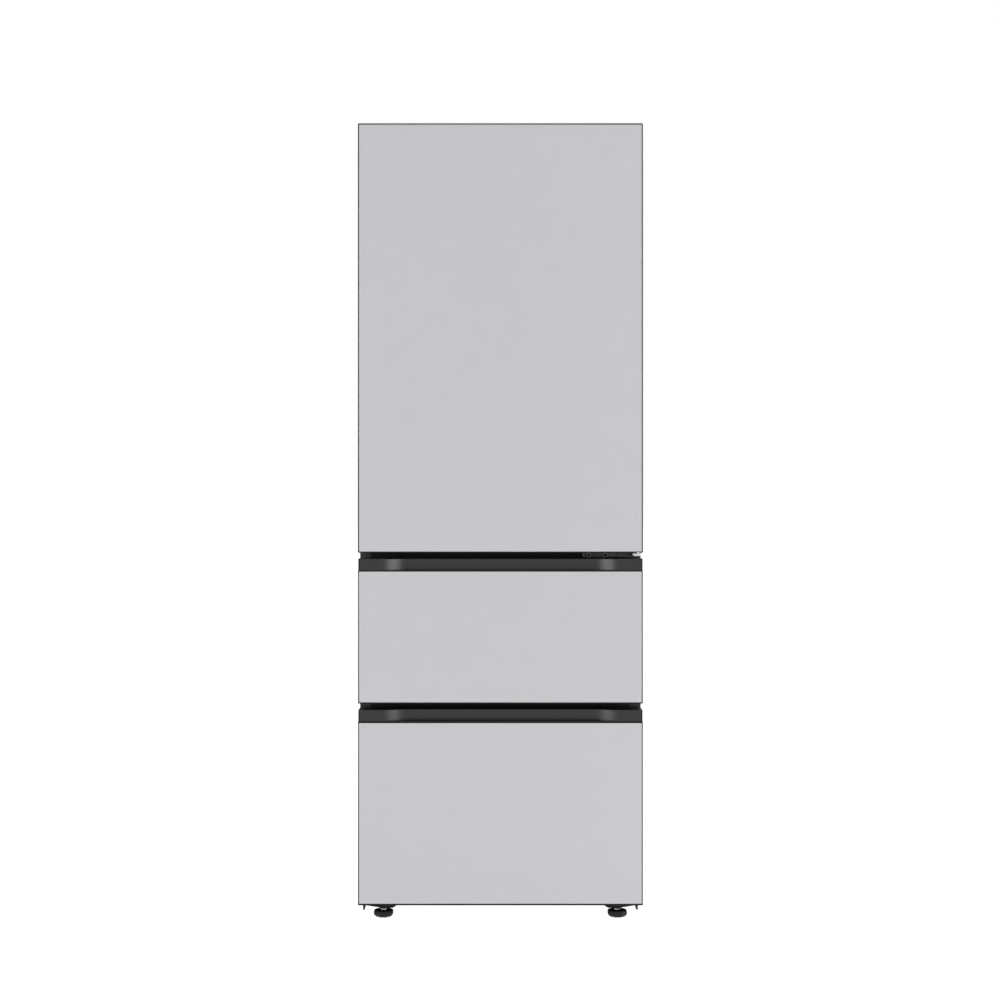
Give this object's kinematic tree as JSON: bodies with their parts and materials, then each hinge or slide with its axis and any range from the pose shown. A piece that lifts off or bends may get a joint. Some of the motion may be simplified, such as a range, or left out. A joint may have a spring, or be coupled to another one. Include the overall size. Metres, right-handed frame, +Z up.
{
  "type": "kimchi refrigerator",
  "caption": "Tall stand-type kimchi refrigerator with a hinged upper door over deep pull-out drawers with curved recessed grips.",
  "frame": {"origin": "on the floor plane, centred under the bounding box of the closed refrigerator", "axes": "+Z up along the height, -Y towards the user (fronts at the lowest Y), +X to the right as seen from the front"},
  "size_m": [0.666, 0.698, 1.86],
  "materials": {
    "front_sheet": "light silver-grey coated steel sheet, satin",
    "dark_trim": "dark grey satin rim with chamfered edges",
    "dark_metal": "dark grey metallic, fine satin",
    "case_sheet": "near-black painted steel sheet",
    "galvanised_sheet": "galvanised steel sheet, dull",
    "zinc_steel": "zinc-plated steel, bright",
    "liner_plastic": "white vacuum-formed plastic",
    "foam": "cream rigid insulation foam",
    "seal_rubber": "dark grey soft magnetic seal",
    "black_plastic": "black moulded plastic",
    "gloss_black": "gloss black touch panel, bare",
    "foot_plastic": "dark grey hard plastic",
    "compressor_paint": "black enamel",
    "aluminium": "bare finned aluminium",
    "shelf_glass": "clear tempered glass",
    "tray_plastic": "pale grey moulded plastic",
    "container_plastic": "beige moulded food-grade plastic",
    "lid_plastic": "dark beige moulded plastic"
  },
  "bodies": {
    "cabinet": {"outer_case": "case_sheet", "back_panel": "galvanised_sheet", "base_frame": "galvanised_sheet", "cabinet_insulation": "foam", "upper_liner": "liner_plastic", "middle_liner": "liner_plastic", "lower_liner": "liner_plastic", "upper_mullion": "case_sheet", "lower_mullion": "case_sheet", "top_hinge_bracket": "zinc_steel", "top_hinge_cover": "black_plastic", "middle_hinge_bracket": "galvanised_sheet", "foot_bracket_left": "case_sheet", "foot_bracket_right": "case_sheet", "roller_axle_left": "zinc_steel", "roller_axle_right": "zinc_steel", "compressor": "compressor_paint", "condenser": "aluminium", "condenser_fan_shroud": "black_plastic", "machine_room_cover": "black_plastic", "control_box": "black_plastic", "evaporator": "aluminium", "evaporator_cover": "liner_plastic", "control_panel": "gloss_black", "shelf_upper": "shelf_glass", "shelf_lower": "shelf_glass", "middle_rail_left": "zinc_steel", "middle_rail_right": "zinc_steel", "lower_rail_left": "zinc_steel", "lower_rail_right": "zinc_steel"},
    "upper_door": {"upper_door_panel": "front_sheet", "upper_door_frame": "dark_trim", "upper_door_liner": "liner_plastic", "upper_door_gasket": "seal_rubber"},
    "middle_drawer": {"middle_front_panel": "front_sheet", "middle_front_frame": "dark_trim", "middle_handle": "dark_metal", "middle_front_liner": "liner_plastic", "middle_gasket": "seal_rubber", "middle_tray": "tray_plastic"},
    "middle_carriage": {"middle_slide_carriage": "zinc_steel"},
    "kimchi_container_left": {"container_left": "container_plastic"},
    "kimchi_container_right": {"container_right": "container_plastic"},
    "container_lid_left": {"lid_left": "lid_plastic"},
    "container_lid_right": {"lid_right": "lid_plastic"},
    "lower_drawer": {"lower_front_panel": "front_sheet", "lower_front_frame": "dark_trim", "lower_handle": "dark_metal", "lower_front_liner": "liner_plastic", "lower_gasket": "seal_rubber", "lower_tray": "tray_plastic"},
    "lower_carriage": {"lower_slide_carriage": "zinc_steel"},
    "cold_fan": {"evaporator_fan": "black_plastic"},
    "hot_fan": {"condenser_fan": "black_plastic"},
    "rear_roller_left": {"roller_left": "black_plastic"},
    "rear_roller_right": {"roller_right": "black_plastic"},
    "screw_left": {"foot_screw_left": "zinc_steel"},
    "screw_right": {"foot_screw_right": "zinc_steel"},
    "pad_left": {"foot_pad_left": "foot_plastic"},
    "pad_right": {"foot_pad_right": "foot_plastic"}
  },
  "joints": [
    {"name": "upper_door_hinge", "type": "hinge", "parent": "cabinet", "child": "upper_door", "pos_m": [0.319, -0.31, 1.357], "axis": [0, 0, 1], "range_deg": [0, 115]},
    {"name": "middle_drawer_slide", "type": "slide", "parent": "cabinet", "child": "middle_drawer", "axis": [0, -1, 0], "range_m": [0, 0.4]},
    {"name": "middle_carriage_slide", "type": "slide", "parent": "cabinet", "child": "middle_carriage", "axis": [0, -1, 0], "range_m": [0, 0.2]},
    {"name": "lower_drawer_slide", "type": "slide", "parent": "cabinet", "child": "lower_drawer", "axis": [0, -1, 0], "range_m": [0, 0.28]},
    {"name": "lower_carriage_slide", "type": "slide", "parent": "cabinet", "child": "lower_carriage", "axis": [0, -1, 0], "range_m": [0, 0.14]},
    {"name": "container_left_lift", "type": "slide", "parent": "middle_drawer", "child": "kimchi_container_left", "axis": [0, 0, 1], "range_m": [0, 0.02]},
    {"name": "container_right_lift", "type": "slide", "parent": "middle_drawer", "child": "kimchi_container_right", "axis": [0, 0, 1], "range_m": [0, 0.02]},
    {"name": "lid_left_lift", "type": "slide", "parent": "kimchi_container_left", "child": "container_lid_left", "axis": [0, 0, 1], "range_m": [0, 0.02]},
    {"name": "lid_right_lift", "type": "slide", "parent": "kimchi_container_right", "child": "container_lid_right", "axis": [0, 0, 1], "range_m": [0, 0.02]},
    {"name": "cold_fan_spin", "type": "hinge", "parent": "cabinet", "child": "cold_fan", "pos_m": [0, 0.247, 1.693], "axis": [0, 1, 0], "continuous": true},
    {"name": "hot_fan_spin", "type": "hinge", "parent": "cabinet", "child": "hot_fan", "pos_m": [0.0783, 0.22885, 0.1518], "axis": [1, 0, 0], "continuous": true},
    {"name": "roller_left_spin", "type": "hinge", "parent": "cabinet", "child": "rear_roller_left", "pos_m": [-0.27, 0.3, 0.016], "axis": [1, 0, 0], "continuous": true},
    {"name": "roller_right_spin", "type": "hinge", "parent": "cabinet", "child": "rear_roller_right", "pos_m": [0.27, 0.3, 0.016], "axis": [1, 0, 0], "continuous": true},
    {"name": "foot_left_height", "type": "slide", "parent": "cabinet", "child": "screw_left", "axis": [0, 0, -1], "range_m": [0, 0.009]},
    {"name": "foot_right_height", "type": "slide", "parent": "cabinet", "child": "screw_right", "axis": [0, 0, -1], "range_m": [0, 0.009]},
    {"name": "foot_left_turn", "type": "hinge", "parent": "screw_left", "child": "pad_left", "pos_m": [-0.275, -0.301, 0.01], "axis": [0, 0, -1], "range_deg": [0, 2160]},
    {"name": "foot_right_turn", "type": "hinge", "parent": "screw_right", "child": "pad_right", "pos_m": [0.275, -0.301, 0.01], "axis": [0, 0, -1], "range_deg": [0, 2160]}
  ],
  "couplings": [
    {"joint": "middle_carriage_slide", "follows": "middle_drawer_slide", "ratio": 0.5},
    {"joint": "lower_carriage_slide", "follows": "lower_drawer_slide", "ratio": 0.5},
    {"joint": "foot_left_height", "follows": "foot_left_turn", "m_per_rad": 0.00023873},
    {"joint": "foot_right_height", "follows": "foot_right_turn", "m_per_rad": 0.00023873}
  ]
}
